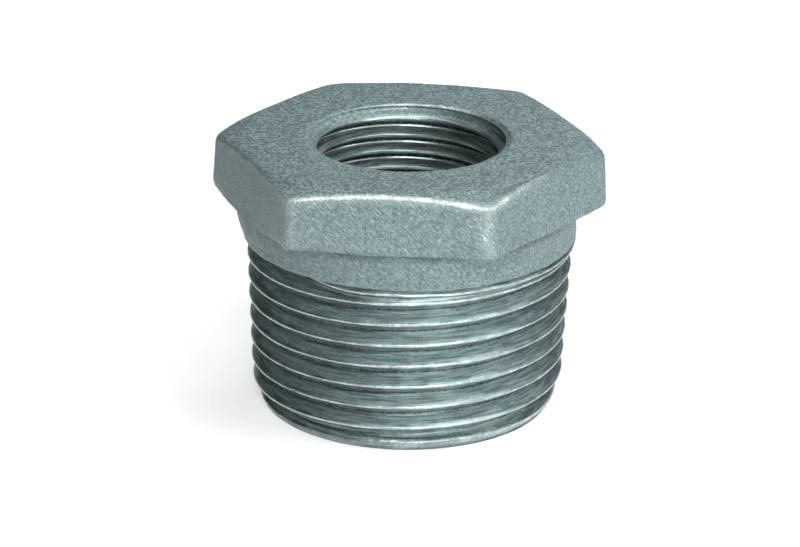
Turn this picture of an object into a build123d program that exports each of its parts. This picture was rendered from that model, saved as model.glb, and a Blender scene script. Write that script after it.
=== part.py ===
# Hexagon reducing bushing, one malleable-iron casting, in millimetres.
# A taper pipe thread R 1 outside, a bore for a parallel pipe thread Rp 1/2 inside.
# The axis is Z: the small end stands on Z = 0 and the hexagon is on top.
import math
import os

from build123d import *

os.makedirs("parts", exist_ok=True)

# Whole fitting
overall_length = 28.6
head_height = 6.35
thread_length = 17.7

# Hexagon head
across_flats = 36.0
head_corner_radius = 1.8
head_draft_angle = 2.5
top_cone_angle = 16.5
top_face_diameter = 34.6

# Plain collar between the hexagon and the thread
collar_ledge = 0.6

# Outside thread on a 1:16 taper, 11 threads to the inch
outer_pitch = 25.4 / 11
gauge_diameter = 33.249
gauge_length = 10.4
taper = 1 / 16
washout_length = 2.0
end_face_diameter = 30.2
end_chamfer_length = 1.2

# Whitworth form, its crest a narrow land and its round root a blunt V below a knee
flank_angle = 27.5
depth_share = 0.640327
land_share = 1 / 6
knee_share = 0.56
run_past = 0.12

# Bore at the core diameter of the inside thread, with a chamfered mouth
bore_diameter = 18.631
bore_length = 15.0
mouth_diameter = 20.6
mouth_chamfer_length = 1.3

# Cored relief from the bore to the small end
relief_diameter = 21.8

# How far a joined body reaches into its neighbour
buried = 0.3

# Sizes that follow from those above
head_underside = overall_length - head_height
groove_depth = outer_pitch * depth_share
knee_depth = groove_depth * knee_share
flank_slope = math.tan(math.radians(flank_angle))
crest_half_width = outer_pitch * (1 - land_share) / 2
knee_half_width = crest_half_width - knee_depth * flank_slope
mouth_half_width = crest_half_width + run_past * flank_slope
taper_angle = math.degrees(math.atan(taper / 2))
end_crest_radius = (gauge_diameter - gauge_length * taper) / 2
washout_start = thread_length - washout_length
collar_radius = across_flats / 2 - collar_ledge
top_face_radius = top_face_diameter / 2
cone_reach = across_flats
cone_drop = (cone_reach - top_face_radius) * math.tan(math.radians(top_cone_angle))
relief_length = overall_length - bore_length


def crest_radius(height):
    """Radius of the taper thread's crest at a height above the small end."""
    return end_crest_radius + height * taper / 2


def groove_turn(height):
    """One turn of the outside groove, from a height on the X axis to one pitch above it."""
    crest = crest_radius(height)
    corners = [
        (crest - groove_depth, 0),
        (crest - knee_depth, knee_half_width),
        (crest + run_past, mouth_half_width),
        (crest + run_past, -mouth_half_width),
        (crest - knee_depth, -knee_half_width),
    ]
    edges = [
        Helix(
            pitch=outer_pitch / math.cos(math.radians(taper_angle)),
            height=outer_pitch,
            radius=radius,
            center=(0, 0, height + rise),
            cone_angle=taper_angle,
        )
        for radius, rise in corners
    ]
    sides = [Face.make_surface_from_curves(*pair) for pair in zip(edges, edges[1:] + edges[:1])]
    ends = [Face(Wire.make_polygon([edge @ place for edge in edges])) for place in (0, 1)]
    return Solid(Shell(sides + ends))


with BuildPart() as hex_bushing:
    # Turned blank of the thread, with the lead chamfer at the small end
    with BuildSketch(Plane.XZ):
        with BuildLine():
            Polyline(
                (0, 0),
                (end_face_diameter / 2, 0),
                (crest_radius(end_chamfer_length), end_chamfer_length),
                (crest_radius(thread_length), thread_length),
                (0, thread_length),
                close=True,
            )
        make_face()
    revolve(axis=Axis.Z)

    # Thread, cut one turn at a time from below the small end to past the shoulder
    for turn in range(math.ceil(thread_length / outer_pitch) + 1):
        add(groove_turn((turn - 1) * outer_pitch), mode=Mode.SUBTRACT)

    # Collar, standing on the cone where the thread washes out
    with BuildSketch(Plane.XZ):
        with BuildLine():
            Polyline(
                (0, washout_start),
                (crest_radius(washout_start) - groove_depth - buried, washout_start),
                (collar_radius, thread_length),
                (collar_radius, head_underside),
                (0, head_underside),
                close=True,
            )
        make_face()
    revolve(axis=Axis.Z)

    # Hexagon with moulding draft, its corners on the X axis
    with BuildSketch(Plane.XY.offset(head_underside)):
        RegularPolygon(across_flats / 2, 6, major_radius=False)
        fillet(vertices(), head_corner_radius)
    extrude(amount=head_height, taper=head_draft_angle)

    # Shallow cone that takes down the corners of the top
    with BuildSketch(Plane.XZ):
        with BuildLine():
            Polyline(
                (top_face_radius, overall_length),
                (cone_reach, overall_length - cone_drop),
                (cone_reach, overall_length),
                close=True,
            )
        make_face()
    revolve(axis=Axis.Z, mode=Mode.SUBTRACT)

    # Bore with its chamfered mouth above and the wider relief below
    with BuildSketch(Plane.XZ):
        with BuildLine():
            Polyline(
                (0, 0),
                (relief_diameter / 2, 0),
                (relief_diameter / 2, relief_length),
                (bore_diameter / 2, relief_length),
                (bore_diameter / 2, overall_length - mouth_chamfer_length),
                (mouth_diameter / 2, overall_length),
                (0, overall_length),
                close=True,
            )
        make_face()
    revolve(axis=Axis.Z, mode=Mode.SUBTRACT)

hex_bushing.part.label = "hex_bushing"
export_step(hex_bushing.part, "parts/hex_bushing.step")
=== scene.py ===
import math

import bpy
import numpy as np
from mathutils import Matrix, Vector, noise


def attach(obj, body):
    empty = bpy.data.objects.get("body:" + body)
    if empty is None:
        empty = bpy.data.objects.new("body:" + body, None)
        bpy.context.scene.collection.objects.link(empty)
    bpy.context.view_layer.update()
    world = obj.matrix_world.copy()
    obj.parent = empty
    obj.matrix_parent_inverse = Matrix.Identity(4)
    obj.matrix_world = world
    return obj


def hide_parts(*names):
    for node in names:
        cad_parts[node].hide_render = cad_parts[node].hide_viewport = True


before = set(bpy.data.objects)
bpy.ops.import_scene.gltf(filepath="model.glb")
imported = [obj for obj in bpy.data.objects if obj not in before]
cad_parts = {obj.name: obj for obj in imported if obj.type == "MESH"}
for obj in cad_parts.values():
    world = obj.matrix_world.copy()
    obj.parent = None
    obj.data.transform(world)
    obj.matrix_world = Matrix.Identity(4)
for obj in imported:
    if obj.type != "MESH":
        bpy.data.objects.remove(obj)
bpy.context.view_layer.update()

mm = 0.001
tau = 2 * math.pi
print("frame loaded")


# Shader helpers
class Wire:   # a node's socket, so that shader maths reads as an expression
    def __init__(self, tree, socket=None):
        self.tree = tree
        self.socket = socket

    def node(self, kind, settings=None, sockets=None, output=0):   # any node: settings first, then sockets
        made = self.tree.nodes.new(kind)
        for name, value in (settings or {}).items():
            setattr(made, name, value)
        for name, value in (sockets or {}).items():
            if isinstance(value, Wire):
                self.tree.links.new(value.socket, made.inputs[name])
            else:
                made.inputs[name].default_value = value
        return Wire(self.tree, made.outputs[output] if made.outputs else None)

    def calc(self, operation, *values):
        return self.node("ShaderNodeMath", {"operation": operation}, dict(enumerate(values)))

    def __add__(self, other):
        return self.calc("ADD", self, other)

    __radd__ = __add__

    def __sub__(self, other):
        return self.calc("SUBTRACT", self, other)

    def __rsub__(self, other):
        return self.calc("SUBTRACT", other, self)

    def __mul__(self, other):
        return self.calc("MULTIPLY", self, other)

    __rmul__ = __mul__

    def __truediv__(self, other):
        return self.calc("DIVIDE", self, other)

    def __rtruediv__(self, other):
        return self.calc("DIVIDE", other, self)

    def larger(self, other):
        return self.calc("MAXIMUM", self, other)

    def between(self, low, high):   # 0 below low, 1 above high, eased
        settings = {"interpolation_type": "SMOOTHSTEP"}
        return self.node("ShaderNodeMapRange", settings, {0: self, 1: low, 2: high})

    def blend(self, first, second):   # colours mixed by this value
        return self.node("ShaderNodeMix", {"data_type": "RGBA"}, {0: self, 6: first, 7: second}, 2)

    def fade(self, first, second):   # values mixed by this value
        return self.node("ShaderNodeMix", {"data_type": "FLOAT"}, {0: self, 2: first, 3: second})

    def stretched(self, x, y, z):   # a vector scaled along each axis
        return self.node("ShaderNodeVectorMath", {"operation": "MULTIPLY"}, {0: self, 1: (x, y, z)})

    def dotted(self, x, y, z):   # how far a vector reaches along this one
        settings = {"operation": "DOT_PRODUCT"}
        return self.node("ShaderNodeVectorMath", settings, {0: self, 1: (x, y, z)}, 1)

    def noise(self, scale, detail=2.0, rough=0.5):
        sockets = {"Vector": self, "Scale": scale, "Detail": detail, "Roughness": rough}
        return self.node("ShaderNodeTexNoise", {"noise_dimensions": "3D"}, sockets)


def newMaterial(name):
    made = bpy.data.materials.new(name)
    made.use_nodes = True
    made.node_tree.nodes.clear()
    return made, Wire(made.node_tree)


def grey(red, green, blue):   # screen colour, 0 to 255, as a linear colour
    return tuple(linear(part / 255) for part in (red, green, blue)) + (1.0,)


def linear(part):   # the standard curve of a screen
    return part / 12.92 if part <= 0.04045 else ((part + 0.055) / 1.055) ** 2.4


# The bushing's shape, in millimetres and degrees
bushing = {
    "columnsOutside": 448,
    "outsidePitch": 25.4 / 11,
    "endCrestRadius": 16.2995,
    "taper": 1 / 16,
    "endFaceRadius": 15.3,
    "endChamferSlope": 0.4,
    "offTrue": 0.013,                # the thread leans and widens a little against the head, per millimetre
    "offTrueFrom": 10,               # above this height, and the other way below it
    "offSide": 0.08,                 # and it stands this far to +X of the head
    "offFade": (17, 21),             # both are gone between these heights
    "insidePitch": 1.814,
    "coreRadius": 9.3155,
    "insideCrestHeight": 25.47,      # of one crest, at the angle below
    "insideCrestAngle": 96.0,
    "threadBottom": 13.7,
    "runOut": 0.5,                   # the thread starts to end this far below its bottom
    "runOutSlope": 1.7,
    "reliefRadius": 10.9,
    "reliefRound": 0.3,
    "ridgeShare": 0.41,              # a thin ridge stands beside each inside root
    "ridgeHeight": 0.03,
    "ridgeWidth": 0.04,              # as a share of a pitch
    "mouthRadius": 10.3,
    "mouthDepth": 1.3,
    "meltWidth": 0.1,                # how softly two turned surfaces meet
    "edgeMeltWidth": 0.12,
    "helixTop": 17.5,                # the outside thread's rows end here
    "helixBottom": 13.4,             # and the inside thread's here
    "ringRadius": 13.0,              # where the outside's columns meet the inside's
    "innerRing": 12.2,               # the first row inside that ring
    "wallRadius": 12.5,              # the outside's points lie beyond this radius, the bore's within it
    "rowGap": 0.035,                 # rows that are nearer to a fixed one are left out
}
thread = {   # shares of a pitch
    "depth": 0.640327,
    "crestRound": 0.085,
    "rootRound": 0.1894,
    "flank": math.radians(27.5),
    "outsideRows": (-0.46, -0.42, -0.335, -0.21, -0.078, -0.04, 0.0, 0.04, 0.078, 0.21, 0.335, 0.42, 0.5),
    "insideRows": (-0.42, -0.2, -0.078, 0.0, 0.06, 0.1, 0.2, 0.335, 0.375, 0.41, 0.445, 0.5),
}
levels = {   # rows at fixed heights, where a step or an edge needs them
    "endFace": (13.8, 14.5),         # these are radii
    "end": (0.06, 0.3, 0.55, 0.8, 1.05, 1.3),
    "shoulder": (
        17.3, 17.42, 17.5, 17.56, 17.64, 17.72, 17.85, 17.97, 18.06, 18.14, 18.24, 18.34, 18.4, 18.5,
    ),
    "collar": (18.75, 18.95, 19.1, 19.25, 19.7, 20.2, 20.7, 21.2),
    "mouth": (0.2, 0.3, 0.4, 0.5, 0.64, 0.8, 0.95, 1.08, 1.25, 1.43, 1.53),   # below the top
    "threadEnd": (14.0, 13.7, 13.4, 13.1),
    "rimFlat": (11.5, 10.95),        # these are radii
    "rimRound": ((0.38, 0.01), (0.2, 0.05), (0.06, 0.13)),   # beyond the mouth, and below the top
    "relief": (11.5, 9.5, 7.5, 5.5, 3.5, 1.8, 0.6),
}
shoulder = {   # radius at each height: a bead fills the last groove, then a step to the collar
    15.9: 15.0, 17.3: 16.45, 17.5: 16.6, 17.6: 16.95, 17.7: 17.13, 17.85: 17.2, 18.0: 17.1, 18.1: 16.9,
    18.24: 16.8, 18.34: 16.85, 18.4: 17.22, 18.6: 17.25, 18.95: 17.27, 19.1: 17.36, 19.25: 17.33,
}
openGroove = {   # the same on the left, where the last groove stays open
    15.9: 14.5, 17.3: 15.2, 17.85: 15.3, 18.1: 15.6, 18.24: 15.9, 18.34: 16.4, 18.4: 16.85, 18.5: 17.22,
    18.6: 17.25, 18.95: 17.27, 19.1: 17.36, 19.25: 17.33,
}
bead = {
    "fadesAt": ((105, 140), (222, 262)),   # it runs out between two angles and comes back between two
    "startsBelow": 0.3,                    # it begins this far below the shoulder's first height
}
collar = {
    "radius": 17.22,
    "height": 18.5,           # where it has that radius
    "bendHeight": 20.5,
    "flare": 0.14,            # outward, per millimetre of height
    "flareLeft": 0.17,        # this much more on the left
    "flareAboveBend": 0.25,   # as a share of the flare
    "left": 186,              # where that side is
    "insideFlats": 0.3,       # it stays this far in from the hexagon
    "insideFlatsLeft": 0.15,  # and this much less on the left
}
head = {
    "flatHalf": 18.0,
    "draft": 2.5,
    "bottom": 22.25,
    "lowCorners": ((202, 0.42, 24), (352, 0.2, 30)),   # it hangs lower: angle, how far, how sharply
    "top": 28.6,
    "topFlatRadius": 17.3,
    "coneAngle": 16.5,
    "coneShare": 0.82,                       # of that slope at the sides
    "coneTilt": 0.22,                        # steeper in front, flatter behind
    "coneBehind": (0.85, 0.29),              # flatter still at the two back corners, most at the left one
    "cornerRadii": (1.8, 1.5, 1.8, 1.8, 1.0, 1.6),   # from the +X corner, counter-clockwise
    "edgeRound": 0.36,
    "footRound": 0.35,
    "footRoundLeft": 0.6,                    # this much more on the left
    "left": 205,                             # where that side is
    "leftSharp": 3,                          # larger keeps it to that side
    "bluntEdge": 0.45,                       # the two side corners are blunter by these
    "bluntFoot": 0.3,
    "bluntSpread": 10,
    "fillet": 0.3,                           # into the collar
    "filletShare": 0.35,                     # but no more than this share of the ledge
    "footShare": 0.5,                        # and the lower edge no more than this
    "creaseRoom": 0.25,                      # the cone is at least this wide
}


def readOff(profile, value):   # straight lines between a profile's points
    return float(np.interp(value, list(profile), list(profile.values())))


def eased(value, low, high):   # 0 below low, 1 above high
    share = min(max((value - low) / (high - low), 0), 1)
    return share * share * (3 - 2 * share)


def softMax(a, b, width):
    near = max(width - abs(a - b), 0) / width
    return max(a, b) + near * near * width / 4


def softMin(a, b, width):
    return -softMax(-a, -b, width)


def bend(first, corner, last, share):   # a point on the curve that rounds a corner
    back = 1 - share
    return tuple(
        back * back * a + 2 * share * back * b + share * share * c
        for a, b, c in zip(first, corner, last)
    )


def threadDepth(turns, pitch):   # below the crest, for turns away from a crest
    crestRound = thread["crestRound"] * pitch
    rootRound = thread["rootRound"] * pitch
    away = abs(turns - round(turns)) * pitch
    rest = pitch / 2 - away
    if away < crestRound * math.cos(thread["flank"]):
        return crestRound - math.sqrt(crestRound ** 2 - away ** 2)
    if rest < rootRound * math.cos(thread["flank"]):
        return thread["depth"] * pitch - rootRound + math.sqrt(rootRound ** 2 - rest ** 2)
    below = away - crestRound * math.cos(thread["flank"])
    return crestRound * (1 - math.sin(thread["flank"])) + below / math.tan(thread["flank"])


def crestRadius(height):
    return bushing["endCrestRadius"] + height * bushing["taper"] / 2


def hexRadius(angle, half):   # a hexagon with rounded corners, half its width across flats given
    corner = round(angle / tau * 6) % 6
    away = abs(angle - round(angle / tau * 6) * tau / 6)
    rounding = head["cornerRadii"][corner]
    centre = (half - rounding) / math.cos(tau / 12)
    reach = math.atan2(rounding / 2, centre + rounding * math.cos(tau / 12))
    if away < reach:
        return centre * math.cos(away) + math.sqrt(rounding ** 2 - (centre * math.sin(away)) ** 2)
    return half / math.cos(tau / 12 - away)


def headBottom(angle):
    bottom = head["bottom"]
    for degrees, drop, sharpness in head["lowCorners"]:
        bottom -= drop * math.cos((angle - math.radians(degrees)) / 2) ** sharpness
    return bottom


def topHeight(radius, angle):   # the flat top and the cone that takes its corners down
    more, less = head["coneBehind"]
    behind = max(math.sin(angle), 0) * abs(math.cos(angle)) ** 3
    slope = math.tan(math.radians(head["coneAngle"]))
    slope *= (
        head["coneShare"] - head["coneTilt"] * math.sin(angle)
        - behind * (more - less * math.cos(angle))
    )
    cone = head["top"] - (radius - head["topFlatRadius"]) * slope
    return softMin(head["top"], cone, bushing["edgeMeltWidth"])


def leftward(angle, degrees):   # 1 at this angle, 0 across from it
    return 0.5 + 0.5 * math.cos(angle - math.radians(degrees))


def collarRadius(height, angle):
    left = leftward(angle, collar["left"])
    flare = collar["flare"] + collar["flareLeft"] * left
    reach = collar["radius"] + (min(height, collar["bendHeight"]) - collar["height"]) * flare
    reach += max(height - collar["bendHeight"], 0) * flare * collar["flareAboveBend"]
    limit = hexRadius(angle, head["flatHalf"]) - collar["insideFlats"] + collar["insideFlatsLeft"] * left
    return min(reach, limit)


def filled(angle):   # how far the bead fills the last groove
    degrees = math.degrees(angle) % 360
    out, back = bead["fadesAt"]
    return 1 - eased(degrees, *out) + eased(degrees, *back)


def outsideRadius(height, angle):
    if height > max(shoulder):
        return collarRadius(height, angle)
    pitch = bushing["outsidePitch"]
    chamfer = bushing["endFaceRadius"] + height * bushing["endChamferSlope"]
    cut = crestRadius(height) - threadDepth(height / pitch - angle / tau - 0.5, pitch)
    cut = softMin(cut, chamfer, bushing["edgeMeltWidth"])
    if height <= min(shoulder) - bead["startsBelow"]:
        return cut
    full = filled(angle)
    ledge = readOff(shoulder, height) * full + readOff(openGroove, height) * (1 - full)
    return softMax(cut, ledge, bushing["meltWidth"])


def insideStart():   # height of the inside thread's crest on the +X side
    climb = bushing["insidePitch"] * math.radians(bushing["insideCrestAngle"]) / tau
    return bushing["insideCrestHeight"] - climb


def insideRadius(height, angle):
    turns = (height - insideStart()) / bushing["insidePitch"] - angle / tau
    aside = abs(turns - round(turns) - bushing["ridgeShare"])
    ridge = max(1 - aside / bushing["ridgeWidth"], 0) * bushing["ridgeHeight"]
    cut = bushing["coreRadius"] + threadDepth(turns, bushing["insidePitch"]) - ridge
    narrowing = bushing["mouthRadius"] - bushing["coreRadius"]
    mouth = bushing["mouthRadius"] - (head["top"] - height) * narrowing / bushing["mouthDepth"]
    climbed = max(height - bushing["threadBottom"] + bushing["runOut"], 0)
    step = bushing["reliefRadius"] - climbed * bushing["runOutSlope"]
    return softMax(softMax(cut, mouth, bushing["meltWidth"]), step, bushing["meltWidth"])


headRows = {   # how far along each part of the head its rows stand
    "fillet": (0.0, 0.5, 1.0),                              # rows 0 to 2, and 3 is the underside's
    "foot": (0.0, 0.3, 0.65, 1.0),                          # 4 to 7
    "side": (0.12, 0.25, 0.38, 0.5, 0.63, 0.76, 0.88),      # 8 to 14
    "edge": (0.0, 0.18, 0.36, 0.54, 0.72, 1.0),             # 15 to 20
    "cone": (0.33, 0.67, 0.93, 1.0),                        # 21 to 24
    "flatTop": (0.06, 0.28, 0.52, 0.76, 1.0),               # 25 to 29
}


def headPoints(angle):   # (radius, height) up the head and in over its top
    bottom = headBottom(angle)
    neck = collarRadius(bottom, angle)
    outer = hexRadius(angle, head["flatHalf"])
    ledge = outer - neck
    inset = min(head["fillet"], head["filletShare"] * ledge)
    blunt = 1 - eased(abs((math.degrees(angle) + 90) % 180 - 90), 0, head["bluntSpread"])
    foot = head["footRound"] + head["footRoundLeft"] * leftward(angle, head["left"]) ** head["leftSharp"]
    foot = min(foot + head["bluntFoot"] * blunt, head["footShare"] * ledge)
    rise = topHeight(outer, angle) - bottom
    upper = hexRadius(angle, head["flatHalf"] - rise * math.tan(math.radians(head["draft"])))
    edge = (upper, topHeight(upper, angle))
    turn = head["edgeRound"] + head["bluntEdge"] * blunt
    points = []
    for share in headRows["fillet"]:
        points.append(bend((neck, bottom - inset), (neck, bottom), (neck + inset, bottom), share))
    points.append((0.5 * (neck + inset + outer - foot), bottom))
    for share in headRows["foot"]:
        points.append(bend((outer - foot, bottom), (outer, bottom), (outer, bottom + foot), share))
    side = (upper + (outer - upper) * turn / rise, edge[1] - turn)
    for share in headRows["side"]:
        height = bottom + foot + (side[1] - bottom - foot) * share
        points.append((outer + (side[0] - outer) * share, height))
    inner = (upper - turn, topHeight(upper - turn, angle))
    for share in headRows["edge"]:
        points.append(bend(side, edge, inner, share))
    crease = min(head["topFlatRadius"], inner[0] - head["creaseRoom"])
    for share in headRows["cone"]:
        radius = inner[0] + (crease - inner[0]) * share
        points.append((radius, topHeight(radius, angle)))
    for share in headRows["flatTop"]:
        radius = crease + (bushing["ringRadius"] - crease) * share
        points.append((radius, topHeight(radius, angle)))
    return points


# The bushing's mesh: columns of labelled rows round the axis, stitched where their labels agree
def helixRows(low, high, pitch, shares, start, angle, fixed, radiusAt):   # rows that follow a thread
    rows = []
    first = math.floor((low - start) / pitch) - 2
    last = math.ceil((high - start) / pitch) + 1
    for turn in range(first, last):
        for number, share in enumerate(shares):
            height = start + (turn + share) * pitch + pitch * angle / tau
            clear = all(abs(height - other) > bushing["rowGap"] for other in fixed)
            if low < height < high and clear:
                rows.append((("helix", turn * len(shares) + number), radiusAt(height, angle), height))
    for height in fixed:
        rows.append((("level", round(height, 3)), radiusAt(height, angle), height))
    return sorted(rows, key=lambda row: row[2])


def outsideColumn(angle):   # from the end face's ring, up the outside, to the top's ring
    low = levels["end"][0]
    high = bushing["helixTop"]
    edge = bushing["endFaceRadius"] - bushing["edgeMeltWidth"]
    ends = (bushing["ringRadius"],) + levels["endFace"] + (edge,)
    fixed = levels["end"] + levels["shoulder"] + levels["collar"]
    pitch = bushing["outsidePitch"]
    rows = [(("end", number), radius, 0.0) for number, radius in enumerate(ends)]
    rows += helixRows(low, high, pitch, thread["outsideRows"], pitch / 2, angle, fixed, outsideRadius)
    for number, (radius, height) in enumerate(headPoints(angle)):
        rows.append((("head", number), radius, height))
    return rows


def insideColumn(angle):   # from the top's ring, down the bore, to the end face's ring
    top = head["top"]
    mouth = insideRadius(top, angle)
    rim = [(radius, top) for radius in (bushing["innerRing"],) + levels["rimFlat"]]
    rim += [(mouth + out, top - down) for out, down in levels["rimRound"]]
    rows = [(("rim", number), radius, height) for number, (radius, height) in enumerate(rim)]
    fixed = [top - down for down in levels["mouth"]] + list(levels["threadEnd"])
    low = bushing["helixBottom"]
    high = top - levels["mouth"][0]
    pitch = bushing["insidePitch"]
    rows += reversed(
        helixRows(low, high, pitch, thread["insideRows"], insideStart(), angle, fixed, insideRadius)
    )
    relief = bushing["reliefRadius"]
    turn = bushing["reliefRound"]
    for number, height in enumerate(levels["relief"]):
        rows.append((("relief", number), relief, height))
    for number, share in enumerate((0.0, 0.5, 1.0)):
        radius, height = bend((relief, turn), (relief, 0.0), (relief + turn, 0.0), share)
        rows.append((("foot", number), radius, height))
    rows.append((("foot", 3), bushing["innerRing"], 0.0))
    return rows


def addColumns(count, columnAt, points, labels):
    fadeLow, fadeHigh = bushing["offFade"]
    columns = []
    for number in range(count):
        angle = tau * number / count
        column = []
        for label, radius, height in columnAt(angle):
            column.append((label, len(points)))
            labels.append(label)
            lean = 0
            if radius > bushing["wallRadius"]:
                lean = bushing["offTrue"] * (height - bushing["offTrueFrom"]) + bushing["offSide"]
                lean *= min(max((fadeHigh - height) / (fadeHigh - fadeLow), 0), 1)
            radius += lean
            points.append((radius * math.cos(angle) + lean, radius * math.sin(angle), height))
        columns.append(column)
    return columns


def stitch(left, right, faces):   # two columns side by side, joined where their labels agree
    leftLabels = {label for label, vertex in left}
    rightLabels = {label for label, vertex in right}
    a = 0
    b = 0
    while a + 1 < len(left) or b + 1 < len(right):
        nextLeft = left[a + 1][0] if a + 1 < len(left) else None
        nextRight = right[b + 1][0] if b + 1 < len(right) else None
        if nextLeft == nextRight:
            faces.append((left[a][1], right[b][1], right[b + 1][1], left[a + 1][1]))
            a += 1
            b += 1
        elif nextLeft is not None and nextLeft not in rightLabels:
            faces.append((left[a][1], right[b][1], left[a + 1][1]))
            a += 1
        elif nextRight is not None and nextRight not in leftLabels:
            faces.append((left[a][1], right[b][1], right[b + 1][1]))
            b += 1
        else:
            raise ValueError(f"rows cross: {nextLeft} {nextRight}")


def stitchRound(columns, rowsPerTurn, faces):
    for number, left in enumerate(columns):
        if number + 1 < len(columns):
            right = columns[number + 1]
        else:   # a thread's rows have climbed one pitch here
            right = [
                ((kind, row - rowsPerTurn) if kind == "helix" else (kind, row), vertex)
                for (kind, row), vertex in columns[0]
            ]
        stitch(left, right, faces)


def joinRings(fine, coarse, faces):   # every coarse column meets two fine ones
    for number in range(len(coarse)):
        after = (number + 1) % len(coarse)
        a, b, c = fine[2 * number], fine[2 * number + 1], fine[(2 * number + 2) % len(fine)]
        faces.append((a, b, coarse[number]))
        faces.append((b, coarse[after], coarse[number]))
        faces.append((b, c, coarse[after]))


points = []
labels = []
faces = []
outside = addColumns(bushing["columnsOutside"], outsideColumn, points, labels)
inside = addColumns(bushing["columnsOutside"] // 2, insideColumn, points, labels)
stitchRound(outside, len(thread["outsideRows"]), faces)
stitchRound(inside, len(thread["insideRows"]), faces)
joinRings([column[-1][1] for column in outside], [column[0][1] for column in inside], faces)
below = []
joinRings([column[0][1] for column in outside], [column[-1][1] for column in inside], below)
faces += [tuple(reversed(face)) for face in below]
mesh = bpy.data.meshes.new("galvanised_hex_bushing")
mesh.from_pydata([Vector(point) * mm for point in points], [], faces)
mesh.update()
mesh.polygons.foreach_set("use_smooth", [True] * len(mesh.polygons))
bushingPiece = bpy.data.objects.new("galvanised_hex_bushing", mesh)
bpy.context.scene.collection.objects.link(bushingPiece)
print("bushing meshed:", len(mesh.vertices), "points", sum(len(face) - 2 for face in faces), "triangles")
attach(bushingPiece, "root")
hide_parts("hex_bushing")


# Where the zinc is scuffed bright and carries painted highlights, and where painted shade darkens it, by
# height, by row or by share of a pitch;
# "Faces" give the angle round the axis and how far to either side
rubbedAndHighlit = {   # 1 is bright
    "headEdge": {15: 0.4, 16: 0.8, 17: 1.0, 18: 1.0, 19: 0.8, 20: 0.4},   # by row
    "edgeFaces": ((270, 50, 1.0), (300, 40, 0.42)),                        # angle, spread, share
    "edgeGain": 1.8,
    "corners": ((299, 4, 0.34), (241, 4, 0.2)),
    "rim": {4: 0.7, 5: 0.85},
    "rimFaces": (84, 52),
    "rimGain": 1.5,
    "crest": {   # by share of a pitch, as the bore's below
        -0.5: 0, -0.46: 0.2, -0.42: 0.8, -0.335: 1, 0: 1, 0.04: 0.7, 0.078: 0.3, 0.15: 0,
    },
    "crestFaces": (285, 75),
    "crestAway": 0.5,                # its share on the far side
    "crestFrom": (0.35, 0.9),        # heights
    "crestTop": 17.4,
    "bead": (17.85, 0.16, 1),        # height, spread, share
    "lip": (18.45, 0.12, 0.5),
    "end": {0.3: 0, 0.55: 0.3, 0.8: 0, 1.05: 0.9, 1.3: 0},
    "endFaces": (300, 65),
    "endAway": 0.15,                 # the same for the small end
    "mouth": {   # by depth below the top
        0.2: 0.9, 0.3: 0, 0.4: 0, 0.5: 0.4, 0.64: 0, 0.95: 0, 1.08: 0.7, 1.25: 0.4, 1.43: 0.9, 1.53: 0,
    },
    "mouthFaces": (84, 52),
    "stepFaces": (106, 34),          # on the mouth's steps, below this height
    "stepHeight": 28.0,
    "mouthGain": 1.7,
    "mouthFrom": 26.9,
    "bore": {-0.2: 0, -0.078: 0.3, 0: 1.6, 0.06: 0, 0.375: 0.15, 0.41: 1.5, 0.445: 0.2, 0.49: 0},
}
# Painted shade: under the head, in the thread's roots, on the left faces, round the mouth and at the small
# end
shadeAmounts = {   # 1 is dark
    "underHead": {0: 0.7, 1: 1.0, 2: 1.0, 3: 1.0, 4: 0.5},
    "cone": {20: 0.3, 21: 0.6, 22: 0.6, 23: 0.4},
    "coneFaces": (315, 48),
    "leftFlat": 0.34,
    "leftFlatFaces": (206, 38),
    "rim": {3: 0.35, 4: 0.8, 5: 0.9},
    "rimFaces": (34, 44),
    "mouthLine": (27.7, 28.0, 0.3),  # from one height to another, and how dark
    "boreTop": 27.2,
    "groove": {-0.5: 1.2, -0.46: 0.6, -0.42: 0, 0.335: 0, 0.42: 0.6, 0.5: 1.2},
    "grooveFrom": (0.5, 3.0),        # heights
    "grooveTop": 18.5,
    "beadFrom": (16.2, 17.4),
    "leftFlank": 0.5,
    "leftFlankShares": (0.05, 0.4),
    "leftFlankFaces": (228, 42),
    "leftFlankTop": 18.4,
    "end": {0.06: 0.6, 0.3: 0.15, 0.55: 0.2, 0.8: 0.5, 1.05: 0, 1.3: 0.8, 1.6: 0},
    "collar": 0.4,
    "collarFrom": 18.6,
    "collarFaces": (212, 48),
    "bore": {-0.5: 1, -0.335: 1, -0.2: 0.9, -0.078: 0.3, 0: 0, 0.41: 0, 0.445: 1, 0.5: 1},
}


def shareOf(point, pitch, start):   # where a point lies on a thread: 0 on a crest, 0.5 in a root
    turns = (point.z - start) / pitch - math.atan2(point.y, point.x) / tau
    return turns - round(turns)


def facing(point, degrees, spread):   # 1 at this angle round the axis, 0 a spread away
    away = abs((math.degrees(math.atan2(point.y, point.x)) - degrees + 180) % 360 - 180)
    return 1 - eased(away, 0, spread)


def peak(value, middle, spread, top):   # the top value in the middle, 0 a spread away
    return max(1 - abs(value - middle) / spread, 0) * top


def onOutside(point):
    return math.hypot(point.x, point.y) > bushing["wallRadius"]


def outsideShare(point):
    return shareOf(point, bushing["outsidePitch"], bushing["outsidePitch"] / 2)


def insideShare(point):
    return shareOf(point, bushing["insidePitch"], insideStart())


def wearAndHighlightOnHead(row, point):
    # The top edge is painted brightest in front: scuffed zinc and a painted highlight
    frontal = max(facing(point, degrees, spread) * share for degrees, spread, share in rubbedAndHighlit["edgeFaces"])
    edge = rubbedAndHighlit["headEdge"].get(row, 0) * min(rubbedAndHighlit["edgeGain"] * frontal, 1)
    if not 5 < row < 18:   # the corners run from the lower edge to the middle of the upper one
        return edge
    # Painted highlights run down the two front corners
    corner = sum(facing(point, degrees, spread) * share for degrees, spread, share in rubbedAndHighlit["corners"])
    return max(edge, corner)


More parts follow.
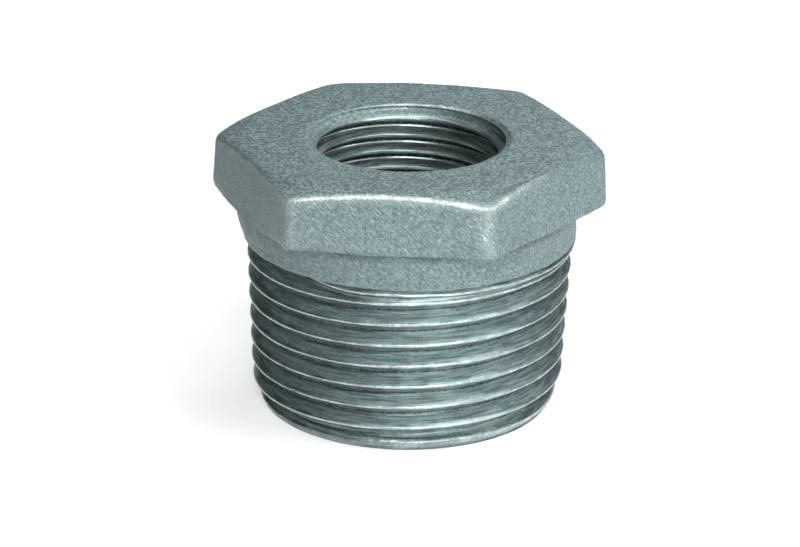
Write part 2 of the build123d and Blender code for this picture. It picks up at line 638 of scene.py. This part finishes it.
def wearAndHighlightOutside(point):
    # The crests are painted brightest in front and the lower flanks lighter: painted highlights on scuffed
    # zinc; the small end, the bead and the lip get painted highlights too
    away = rubbedAndHighlit["crestAway"]
    crest = readOff(rubbedAndHighlit["crest"], outsideShare(point)) if point.z < rubbedAndHighlit["crestTop"] else 0
    crest *= away + (1 - away) * facing(point, *rubbedAndHighlit["crestFaces"])
    crest *= eased(point.z, *rubbedAndHighlit["crestFrom"])
    away = rubbedAndHighlit["endAway"]
    end = readOff(rubbedAndHighlit["end"], point.z) * (away + (1 - away) * facing(point, *rubbedAndHighlit["endFaces"]))
    full = filled(math.atan2(point.y, point.x))
    onBead = peak(point.z, *rubbedAndHighlit["bead"]) * full
    onLip = peak(point.z, *rubbedAndHighlit["lip"]) * (1 - full)
    return max(crest, end, onBead, onLip)


def paintedHighlightInside(point):
    # Painted highlights on the bore's crests and root ridges, and on the mouth's steps on the far side
    if point.z <= rubbedAndHighlit["mouthFrom"]:
        return readOff(rubbedAndHighlit["bore"], insideShare(point))
    faces = rubbedAndHighlit["mouthFaces"] if point.z > rubbedAndHighlit["stepHeight"] else rubbedAndHighlit["stepFaces"]
    mouth = readOff(rubbedAndHighlit["mouth"], head["top"] - point.z)
    return mouth * min(rubbedAndHighlit["mouthGain"] * facing(point, *faces), 1)


def wearAndHighlightAt(label, point):   # 1 where an edge or crest is scuffed bright and has a painted highlight
    kind, number = label
    if kind == "head":
        return wearAndHighlightOnHead(number, point)
    if kind == "rim":
        # Painted highlights on the burr at the far side of the rim
        return rubbedAndHighlit["rim"].get(number, 0) * min(rubbedAndHighlit["rimGain"] * facing(point, *rubbedAndHighlit["rimFaces"]), 1)
    if kind in ("helix", "level"):
        return wearAndHighlightOutside(point) if onOutside(point) else paintedHighlightInside(point)
    return 0


def paintedShadeOnHead(row, point):
    # Painted shade under the head, on the cone towards the front right and on the left faces
    under = shadeAmounts["underHead"].get(row, 0)
    cone = shadeAmounts["cone"].get(row, 0) * facing(point, *shadeAmounts["coneFaces"])
    left = shadeAmounts["leftFlat"] * facing(point, *shadeAmounts["leftFlatFaces"]) if 4 < row < 15 else 0
    return max(under, cone, left)


def paintedShadeOutside(point):
    # Painted shade in the roots below each crest, on the left flanks, on the left of the collar and in
    # bands at the small end
    share = outsideShare(point)
    low, high = shadeAmounts["leftFlankShares"]
    full = filled(math.atan2(point.y, point.x)) * eased(point.z, *shadeAmounts["beadFrom"])
    groove = readOff(shadeAmounts["groove"], share) if point.z < shadeAmounts["grooveTop"] else 0
    groove *= eased(point.z, *shadeAmounts["grooveFrom"]) * (1 - full)
    flank = 0
    if low < share < high and point.z < shadeAmounts["leftFlankTop"]:
        flank = shadeAmounts["leftFlank"] * facing(point, *shadeAmounts["leftFlankFaces"])
    onCollar = shadeAmounts["collar"] * facing(point, *shadeAmounts["collarFaces"]) if point.z > shadeAmounts["collarFrom"] else 0
    return max(groove, flank, onCollar, readOff(shadeAmounts["end"], point.z))


def paintedShadeAt(label, point):   # 1 where painted shade darkens the zinc
    kind, number = label
    if kind == "head":
        return paintedShadeOnHead(number, point)
    if kind == "rim":
        # Painted shade on the right of the rim
        return shadeAmounts["rim"].get(number, 0) * facing(point, *shadeAmounts["rimFaces"])
    if kind not in ("helix", "level"):
        return 0
    if point.z > shadeAmounts["boreTop"]:
        # A painted dark line round the mouth
        low, high, amount = shadeAmounts["mouthLine"]
        return amount if kind == "level" and low < point.z < high else 0
    # Painted shade in the bore's roots and under its crests
    return paintedShadeOutside(point) if onOutside(point) else readOff(shadeAmounts["bore"], insideShare(point))


def markPoints(mesh, labels, name, valueAt):
    values = [valueAt(label, vertex.co / mm) for label, vertex in zip(labels, mesh.vertices)]
    mesh.attributes.new(name, "FLOAT", "POINT").data.foreach_set("value", values)


# Two point values: scuffs with painted highlights, and painted shade
markPoints(mesh, labels, "wearAndHighlight", wearAndHighlightAt)
markPoints(mesh, labels, "paintedShade", paintedShadeAt)
print("wear marked")


# The casting's waves, the burrs and the knocks on the crests
surface = {
    "castWaves": ((0.22, 0.09), (0.6, 0.045), (1.6, 0.02)),   # waves per millimetre and how far they push
    "castFrom": 18.6,                # above this height the skin is as cast
    "castEase": 0.8,                 # and as rough as it gets this far above it
    "castRadius": 10.6,
    "onTop": 0.35,                   # the top has this share of it
    "topFrom": 28.3,
    "reliefRadius": 10.7,            # the relief is as cast too, beyond this radius
    "reliefFrom": 0.05,
    "outerRadius": 14.0,
    "turnedWaves": ((0.35, 0.02), (1.7, 0.01)),
    "turnedFrom": 0.1,
    "crestBurr": 0.03,
    "crestDeep": 0.25,               # the burr is gone this far below the crest
    "crestWaves": 2.6,
    "endBurr": 0.07,
    "endHigh": 2.6,
    "endWaves": 1.9,
    "rimBurr": 0.13,
    "rimFrom": 28.35,
    "rimRadius": 10.75,
    "rimWaves": 2.7,
    "rimPatches": 0.3,
    "knocks": (   # angle and height on the crests
        (213, 12.95), (216, 10.4), (226, 6.9), (231, 4.75), (296, 4.9), (303, 14.3), (20, 9.6), (118, 7.4),
    ),
    "knockDepth": 0.14,
    "knockSize": 0.45,
}


def wave(point, frequency, seed):
    return noise.noise(point * frequency + Vector((seed * 7.3, seed * 3.1, seed * 5.7)))


def knockPlaces():   # on the crest's cone
    places = []
    for degrees, height in surface["knocks"]:
        angle = math.radians(degrees)
        radius = crestRadius(height)
        places.append(Vector((radius * math.cos(angle), radius * math.sin(angle), height)))
    return places


def isCast(point, radius):   # the collar, the head and the relief, which no tool has cut
    above = point.z > surface["castFrom"] and radius > surface["castRadius"]
    within = surface["reliefRadius"] < radius <= surface["outerRadius"] and point.z > surface["reliefFrom"]
    return above or within


def wavePush(point, waves, strength, firstSeed):
    push = 0.0
    for number, (frequency, reach) in enumerate(waves):
        push += reach * strength * wave(point, frequency, number + firstSeed)
    return push


def castPush(point, outer):
    strength = min((point.z - surface["castFrom"]) / surface["castEase"], 1.0) if outer else 1.0
    strength *= surface["onTop"] if point.z > surface["topFrom"] else 1.0
    return wavePush(point, surface["castWaves"], strength, 0)


def threadPush(point, radius, knocks, push):   # burrs and knocks on top of the turned waves
    near = max(1 - (crestRadius(point.z) - radius) / surface["crestDeep"], 0.0)
    push += near * surface["crestBurr"] * wave(point, surface["crestWaves"], 9)
    low = max(1 - point.z / surface["endHigh"], 0)
    push += low * surface["endBurr"] * wave(point, surface["endWaves"], 15)
    for knock in knocks:
        away = (point - knock).length / surface["knockSize"]
        if away < 2:
            push -= surface["knockDepth"] * math.exp(-away * away * 2)
    return push


def rimPush(point):   # a burr that comes and goes round the mouth
    burr = max(wave(point, surface["rimWaves"], 12) + 0.15, 0.0)
    return surface["rimBurr"] * burr * (0.6 + 0.4 * wave(point, surface["rimPatches"], 13))


def roughen(mesh):
    normals = [Vector(item.vector) for item in mesh.vertex_normals]
    knocks = knockPlaces()
    for vertex, normal in zip(mesh.vertices, normals):
        point = vertex.co / mm
        radius = math.hypot(point.x, point.y)
        outer = radius > surface["outerRadius"]
        cast = isCast(point, radius)
        push = castPush(point, outer) if cast else wavePush(point, surface["turnedWaves"], 1.0, 4)
        if outer and not cast and point.z > surface["turnedFrom"]:
            push = threadPush(point, radius, knocks, push)
        if not outer and point.z > surface["rimFrom"] and radius < surface["rimRadius"]:
            push += rimPush(point)
        vertex.co += normal * push * mm
        vertex.co.z = max(vertex.co.z, 0.0)   # it stands on the floor
    mesh.update()


roughen(mesh)
print("bushing roughened")


# Finishes: colours as a screen shows them, scales per millimetre, depths in millimetres
castZinc = {
    "dark": (101, 121, 124),
    "light": (156, 175, 175),
    "spark": (214, 227, 224),
    # the colour of the scuffs and painted highlights
    "wornAndHighlit": (230, 242, 240),
    # the colour of the painted shade
    "paintedShade": (46, 59, 61),
    "metallic": 0.5,
    "roughness": 0.5,
    "lumps": 0.8,
    "grain": 4.4,
    "grainDepth": 0.042,
    "grainAlong": (0.66, 0.24, -0.7),    # the grain is drawn out this way
    "grainAcross": (0.66, 0.24, 0.7),
    "grainAside": (-0.34, 0.94, 0.0),
    "drawnOut": (0.5, 1.1),              # its scale along and across
    "fineGrain": 2.1,                    # these three are times the grain's scale
    "pitGrain": 0.8,
    "evenGrain": 0.75,                   # on faces that look up the grain runs no way
    "lookingUp": (0.75, 0.95),
    "pits": (0.36, 0.26),                # where the noise turns into each of these
    "mottle": (0.35, 0.65),
    "sparks": (0.61, 0.69),
    "wearAndHighlightRange": (0.4, 1.1),
    "shadePatches": (0.3, 0.6),
    "sparkStrength": 0.55,
    "shadeStrength": 0.85,
}
cutZinc = {
    "dark": (110, 126, 128),
    "light": (164, 180, 180),
    "spark": (205, 219, 217),
    # the colour of the scuffs and painted highlights
    "wornAndHighlit": (226, 242, 241),
    # the colour of the painted shade
    "paintedShade": (24, 32, 34),
    "metallic": 0.85,
    "roughness": 0.36,
    "lines": 8.0,                        # tool lines
    "lineDepth": 0.012,
    "lineBreaks": 0.32,                  # larger breaks the lines up more
    "specks": 3.6,
    "patches": 0.5,
    "seam": (0.44, 0.49),                # behind, the lines run level where two turns would clash
    "low": (3.2, 0.4),                   # near the small end the skin is rougher
    "mottle": (0.38, 0.62),
    "sparks": (0.62, 0.68),
    "brightPatches": (0.4, 0.6),
    "brightSpecks": (0.42, 0.58),
    "shadeSpecks": (0.6, 0.4),
    "sparkStrength": 0.5,
    "shadeStrength": 0.85,
}
cutFaces = {   # which faces a tool has cut
    "boreRadius": 10.75,     # the bore's lie within this radius
    "boreFrom": 13.3,
    "boreTo": 27.5,
    "threadRadius": 12,      # and the thread's beyond this one
    "threadTo": 18.45,
}


def millimetres(wire):
    place = wire.node("ShaderNodeTexCoord", output=3)
    return place.stretched(1000, 1000, 1000)


def attribute(wire, name):
    return wire.node("ShaderNodeAttribute", {"attribute_name": name}, output=2)


def vector(wire, x, y, z):
    return wire.node("ShaderNodeCombineXYZ", {}, {0: x, 1: y, 2: z})


def zincColour(look, mottle, spark, paintedShade, wornAndHighlit):   # each layer over the one before
    colour = mottle.blend(grey(*look["dark"]), grey(*look["light"]))
    colour = (spark * look["sparkStrength"]).blend(colour, grey(*look["spark"]))
    # Painted shade over the zinc
    colour = (paintedShade * look["shadeStrength"]).blend(colour, grey(*look["paintedShade"]))
    # Then scuffed zinc with painted highlights
    return wornAndHighlit.blend(colour, grey(*look["wornAndHighlit"]))


def finishMaterial(wire, colour, metallic, roughness, height, depth):
    normal = wire.node("ShaderNodeBump", {}, {"Strength": 1.0, "Distance": depth * mm, "Height": height})
    sockets = {"Base Color": colour, "Metallic": metallic, "Roughness": roughness, "Normal": normal}
    skin = wire.node("ShaderNodeBsdfPrincipled", {}, sockets)
    wire.node("ShaderNodeOutputMaterial", {}, {"Surface": skin})


def castSkin():
    look = castZinc
    made, wire = newMaterial("sand_cast_zinc")
    place = millimetres(wire)
    stretchAlong, stretchAcross = look["drawnOut"]
    along = place.dotted(*look["grainAlong"])
    across = place.dotted(*look["grainAcross"])
    aside = place.dotted(*look["grainAside"])
    drawn = vector(wire, along * stretchAlong, across * stretchAcross, aside)
    lumps = place.noise(look["lumps"], 2.0)
    grain = drawn.noise(look["grain"], 2.0, 0.6)
    fine = place.noise(look["grain"] * look["fineGrain"], 1.5)
    pits = place.noise(look["grain"] * look["pitGrain"], 1.0).between(*look["pits"])
    height = lumps * 0.7 + grain + fine * 0.45 - pits * 0.5
    lookingUp = wire.node("ShaderNodeTexCoord", output=1).dotted(0, 0, 1).between(*look["lookingUp"])
    even = place.noise(look["grain"] * look["evenGrain"], 2.0, 0.6)
    grain = lookingUp.fade(grain, even)
    # Faces that look up are painted darker, and their pits darker still: painted shade on the top
    mottle = grain * (0.6 + lookingUp * 0.5) + lumps * 0.1 + fine * 0.4 - lookingUp * 0.25 - 0.05
    mottle = mottle.between(*look["mottle"])
    mottle = mottle - pits * (0.4 + lookingUp * 0.5) - lookingUp * 0.1
    spark = (fine * 0.45 + grain * 0.55).between(*look["sparks"])
    wearAndHighlight = attribute(wire, "wearAndHighlight")
    # Scuffed zinc with painted highlights, led by the point value and by the noise
    wornAndHighlit = (wearAndHighlight + (grain + fine) * 1.1 + lumps * 1.4 - 1.8).between(*look["wearAndHighlightRange"]).larger(wearAndHighlight * 0.45)
    # Painted shade, in patches
    paintedShade = attribute(wire, "paintedShade") * (0.35 + 0.65 * lumps.between(*look["shadePatches"]))
    colour = zincColour(look, mottle, spark, paintedShade, wornAndHighlit)
    roughness = look["roughness"] + mottle * 0.1 - spark * 0.15 - wornAndHighlit * 0.15
    finishMaterial(wire, colour, look["metallic"], roughness, height, look["grainDepth"])
    return made


def cutSkin(name):
    look = cutZinc
    made, wire = newMaterial(name)
    place = millimetres(wire)
    x = place.dotted(1, 0, 0)
    y = place.dotted(0, 1, 0)
    z = place.dotted(0, 0, 1)
    turn = x.calc("ARCTAN2", x, -1 * y) / tau   # from the front, half a turn each way
    climbed = z - turn * bushing["outsidePitch"]
    breaks = look["lineBreaks"]
    along = vector(wire, x * breaks, y * breaks, climbed * look["lines"])
    level = vector(wire, x * breaks, y * breaks, z * look["lines"])
    seam = turn.calc("ABSOLUTE", turn).between(*look["seam"])
    lines = seam.fade(along.noise(1.0, 3.0, 0.6), level.noise(1.0, 3.0, 0.6))
    speck = place.noise(look["specks"], 2.0, 0.6)
    patch = place.noise(look["patches"], 2.0, 0.5)
    low = z.between(*look["low"])
    height = lines + speck * (0.35 + low * 1.5)
    mottle = (lines * 0.8 + speck * 0.15 + patch * 0.1 - 0.025).between(*look["mottle"])
    spark = (speck * 0.6 + lines * 0.4 + low * 0.04).between(*look["sparks"])
    # Painted highlights, broken into patches and specks
    wornAndHighlit = attribute(wire, "wearAndHighlight") * (0.5 + 0.5 * patch.between(*look["brightPatches"]))
    wornAndHighlit = wornAndHighlit * (0.65 + 0.35 * speck.between(*look["brightSpecks"]))
    # Painted shade, broken by specks
    paintedShade = attribute(wire, "paintedShade") * (0.7 + 0.3 * speck.between(*look["shadeSpecks"]))
    colour = zincColour(look, mottle, spark, paintedShade, wornAndHighlit)
    roughness = look["roughness"] + mottle * 0.12 - wornAndHighlit * 0.1
    finishMaterial(wire, colour, look["metallic"], roughness, height, look["lineDepth"])
    return made


def dressBushing(piece):   # the thread and the bore have a material each, so that either can be changed
    for made in (castSkin(), cutSkin("cut_thread_zinc"), cutSkin("cut_bore_zinc")):
        piece.data.materials.append(made)
    for face in piece.data.polygons:
        centre = face.center / mm
        radius = math.hypot(centre.x, centre.y)
        if radius <= cutFaces["boreRadius"]:
            face.material_index = 2 if cutFaces["boreFrom"] < centre.z < cutFaces["boreTo"] else 0
        elif radius > cutFaces["threadRadius"] and centre.z < cutFaces["threadTo"]:
            face.material_index = 1


dressBushing(bushingPiece)
print("bushing finished")


# Studio: white surroundings, floor, lamps and camera
studio = {
    "lookAt": (0.0, 0.0, 14.0),
    "distance": 350.0,
    "azimuth": 6.204,
    "elevation": 21.668,
    "roll": 0.529,
    "frame": (800, 547),             # in pixels, as the next two
    "focal": 3335.8,
    "lookAtPixel": (407.804, 267.9),
    "sensor": 36.0,
    "clip": (0.01, 20.0),            # metres
    "skyBright": 0.2,
    "skyDim": 0.02,
    "skyTint": (0.93, 1.0, 1.01, 1),
    "skyFrom": (55, 35),             # where the bright side of the sky is
    "skyEdge": (-0.15, 0.95),        # how soft its edge is
    "behindEdge": (0.3, 0.95),       # polished faces see white behind the part
    "behindTop": (0.22, -0.04),      # below this height in the sky
    "floorReach": 3.0,               # metres each way
    "floorAlbedo": 0.6,
    "floorGlow": 0.59,
    "lamps": {   # azimuth, elevation, distance in mm, size in mm, watts
        "key_front_right": (26, 11, 420, 170, 0.62),
        "key_front": (4, 40, 380, 90, 0.45),
        "high_right": (60, 62, 300, 150, 0.34),
        "overhead": (155, 72, 300, 150, 0.34),
        "side_right": (75, 25, 400, 170, 0.27),
        "back_fill": (165, 40, 300, 150, 0.06),
    },
}
white = (1, 1, 1, 1)


def direction(azimuth, elevation):   # azimuth from the front, toward +X
    a = math.radians(azimuth)
    e = math.radians(elevation)
    return Vector((math.sin(a) * math.cos(e), -math.cos(a) * math.cos(e), math.sin(e)))


def seenBackground(wire, reflected):   # 1 where the camera, glass or a polished face sees the white
    camera = wire.node("ShaderNodeLightPath", output=0)
    glossy = Wire(wire.tree, camera.socket.node.outputs["Is Glossy Ray"])
    through = Wire(wire.tree, camera.socket.node.outputs["Is Transmission Ray"])
    return camera.larger(through).larger(glossy * reflected)


def makeWorld():
    world = bpy.data.worlds.new("white_studio")
    world.use_nodes = True
    world.node_tree.nodes.clear()
    wire = Wire(world.node_tree)
    place = wire.node("ShaderNodeTexCoord")
    sky = place.dotted(*direction(*studio["skyFrom"])).between(*studio["skyEdge"])
    sky = sky.fade(studio["skyDim"], studio["skyBright"])
    behind = place.dotted(*direction(studio["azimuth"] + 180, 0)).between(*studio["behindEdge"])
    behind = behind * place.dotted(0, 0, 1).between(*studio["behindTop"])
    shown = seenBackground(wire, behind)
    colour = shown.blend(studio["skyTint"], white)
    light = wire.node("ShaderNodeBackground", {}, {"Color": colour, "Strength": shown.fade(sky, 1.0)})
    wire.node("ShaderNodeOutputWorld", {}, {"Surface": light})
    bpy.context.scene.world = world


def makeFloor():
    reach = studio["floorReach"]
    corners = [(-reach, -reach, 0), (reach, -reach, 0), (reach, reach, 0), (-reach, reach, 0)]
    ground = bpy.data.meshes.new("studio_floor")
    ground.from_pydata(corners, [], [(0, 1, 2, 3)])
    floor = bpy.data.objects.new("studio_floor", ground)
    bpy.context.scene.collection.objects.link(floor)
    made, wire = newMaterial("pale_floor")
    skin = wire.node("ShaderNodeBsdfDiffuse", {}, {"Color": (studio["floorAlbedo"],) * 3 + (1,)})
    strength = seenBackground(wire, 1.0) * studio["floorGlow"]
    glow = wire.node("ShaderNodeEmission", {}, {"Color": white, "Strength": strength})
    both = wire.node("ShaderNodeAddShader", {}, {0: skin, 1: glow})
    wire.node("ShaderNodeOutputMaterial", {}, {"Surface": both})
    ground.materials.append(made)


def makeLamps():
    target = Vector(studio["lookAt"])
    for name, (azimuth, elevation, distance, size, watts) in studio["lamps"].items():
        lamp = bpy.data.lights.new(name, "AREA")
        lamp.shape = "SQUARE"
        lamp.size = size * mm
        lamp.energy = watts
        holder = bpy.data.objects.new(name, lamp)
        away = direction(azimuth, elevation)
        holder.location = (target + away * distance) * mm
        holder.rotation_euler = away.to_track_quat("Z", "Y").to_euler()
        bpy.context.scene.collection.objects.link(holder)


def makeCamera():
    back = direction(studio["azimuth"], studio["elevation"])
    a = math.radians(studio["azimuth"])
    roll = math.radians(studio["roll"])
    level = Vector((math.cos(a), math.sin(a), 0))
    upright = back.cross(level)
    right = level * math.cos(roll) + upright * math.sin(roll)
    up = upright * math.cos(roll) - level * math.sin(roll)
    turned = Matrix((right, up, back)).transposed().to_4x4()
    spot = (Vector(studio["lookAt"]) + back * studio["distance"]) * mm
    wide, high = studio["frame"]
    across, down = studio["lookAtPixel"]
    lens = bpy.data.cameras.new("studio_camera")
    lens.sensor_width = studio["sensor"]
    lens.lens = studio["focal"] * studio["sensor"] / wide
    lens.shift_x = (wide / 2 - across) / wide
    lens.shift_y = (down - high / 2) / wide
    lens.clip_start, lens.clip_end = studio["clip"]
    camera = bpy.data.objects.new("studio_camera", lens)
    camera.matrix_world = Matrix.Translation(spot) @ turned
    bpy.context.scene.collection.objects.link(camera)
    bpy.context.scene.camera = camera


makeWorld()
makeFloor()
makeLamps()
makeCamera()
bpy.context.scene.view_settings.view_transform = "Standard"
print("studio set")
